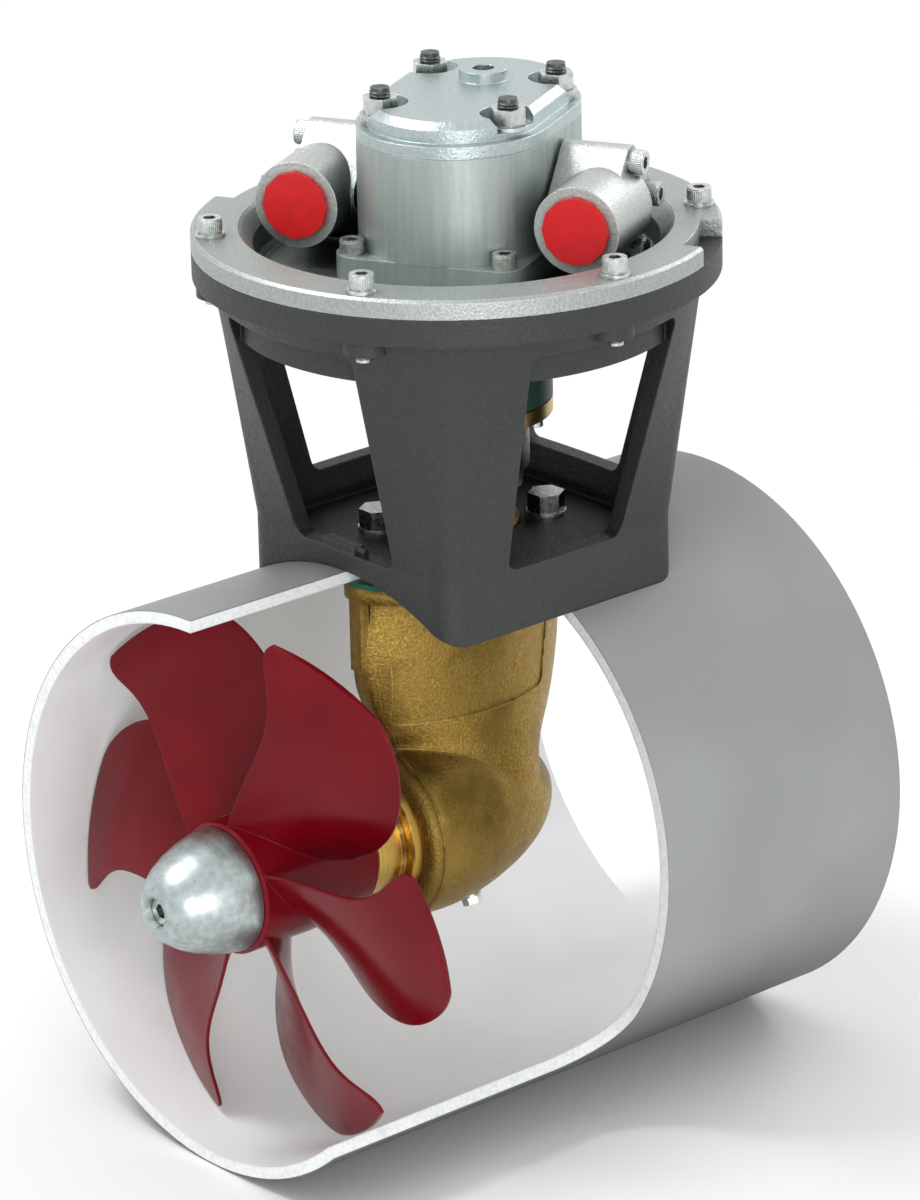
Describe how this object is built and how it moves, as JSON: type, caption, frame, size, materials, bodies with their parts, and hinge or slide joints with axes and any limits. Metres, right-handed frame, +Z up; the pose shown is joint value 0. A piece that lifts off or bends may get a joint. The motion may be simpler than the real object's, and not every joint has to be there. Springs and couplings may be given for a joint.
{
  "type": "tunnel thruster",
  "caption": "Hydraulic tunnel thruster: gear motor on a cast bracket, bronze gear leg and bladed propeller in a cut-away tunnel.",
  "frame": {"origin": "where the tunnel axis meets the axis of the vertical drive shaft", "axes": "+Y along the tunnel away from the propeller, +Z up along the drive shaft"},
  "size_m": [0.314, 0.398, 0.565],
  "materials": {
    "gelcoat": "gloss laminate",
    "grey_paint": "textured dark grey paint",
    "cast_aluminium": "as cast and machined",
    "zinc_steel": "zinc plated",
    "black_steel": "black oxide",
    "steel": "ground",
    "bearing_bronze": "machined",
    "seal_rubber": "matte",
    "red_plastic": "moulded",
    "coupling_rubber": "moulded",
    "plated_ring": "yellow passivated",
    "leg_bronze": "sand cast",
    "green_gasket": "moulded",
    "turned_bronze": "turned",
    "burgundy_plastic": "gloss moulded",
    "nose_zinc": "turned zinc"
  },
  "bodies": {
    "root": {"tunnel": "gelcoat", "mounting_bracket": "grey_paint", "motor_bowl": "cast_aluminium", "ring_screws": "zinc_steel", "ring_washers": "zinc_steel", "motor_flange": "cast_aluminium", "motor_body": "cast_aluminium", "motor_cover": "cast_aluminium", "tie_studs": "black_steel", "stud_nuts": "zinc_steel", "stud_washers": "zinc_steel", "motor_flange_screws": "zinc_steel", "bearing_blocks": "bearing_bronze", "motor_shaft_seal": "seal_rubber", "left_port_elbow": "cast_aluminium", "left_port_plug": "red_plastic", "right_port_elbow": "cast_aluminium", "right_port_plug": "red_plastic", "port_seals": "seal_rubber", "elbow_screws": "zinc_steel", "pinion_bearing_outer_ring": "steel", "upper_bearing_outer_ring": "steel", "upper_shaft_seal": "seal_rubber", "gear_leg": "leg_bronze", "leg_gasket": "green_gasket", "leg_bolts": "zinc_steel", "leg_bolt_washers": "zinc_steel", "drain_screw": "zinc_steel", "gearcase_cap": "leg_bronze", "seal_carrier": "turned_bronze", "prop_shaft_seal": "seal_rubber", "front_prop_bearing_outer_ring": "steel", "rear_prop_bearing_outer_ring": "steel"},
    "propeller": {"front_prop_bearing_inner_ring": "steel", "rear_prop_bearing_inner_ring": "steel", "bevel_wheel": "steel", "prop_shaft": "steel", "drive_pin": "steel", "propeller": "burgundy_plastic", "nose_cone": "nose_zinc", "nose_screw": "steel"},
    "drive_line": {"motor_drive_gear": "steel", "upper_coupling_half": "black_steel", "flexible_sleeve": "coupling_rubber", "coupling_ring": "plated_ring", "lower_coupling_half": "black_steel", "coupling_screws": "zinc_steel", "drive_shaft": "steel", "pinion_bearing_inner_ring": "steel", "upper_bearing_inner_ring": "steel", "bevel_pinion": "steel"},
    "motor_idler": {"motor_idler_gear": "steel"}
  },
  "joints": [
    {"name": "propeller_spin", "type": "hinge", "parent": "root", "child": "propeller", "pos_m": [0, 0, 0], "axis": [0, 1, 0], "continuous": true},
    {"name": "drive_spin", "type": "hinge", "parent": "root", "child": "drive_line", "pos_m": [0, 0, 0], "axis": [0, 0, 1], "continuous": true},
    {"name": "idler_spin", "type": "hinge", "parent": "root", "child": "motor_idler", "pos_m": [-0.02049, 0.03894, 0.353], "axis": [0, 0, 1], "continuous": true}
  ],
  "couplings": [
    {"joint": "drive_spin", "follows": "propeller_spin", "ratio": 2},
    {"joint": "idler_spin", "follows": "propeller_spin", "ratio": -2}
  ]
}
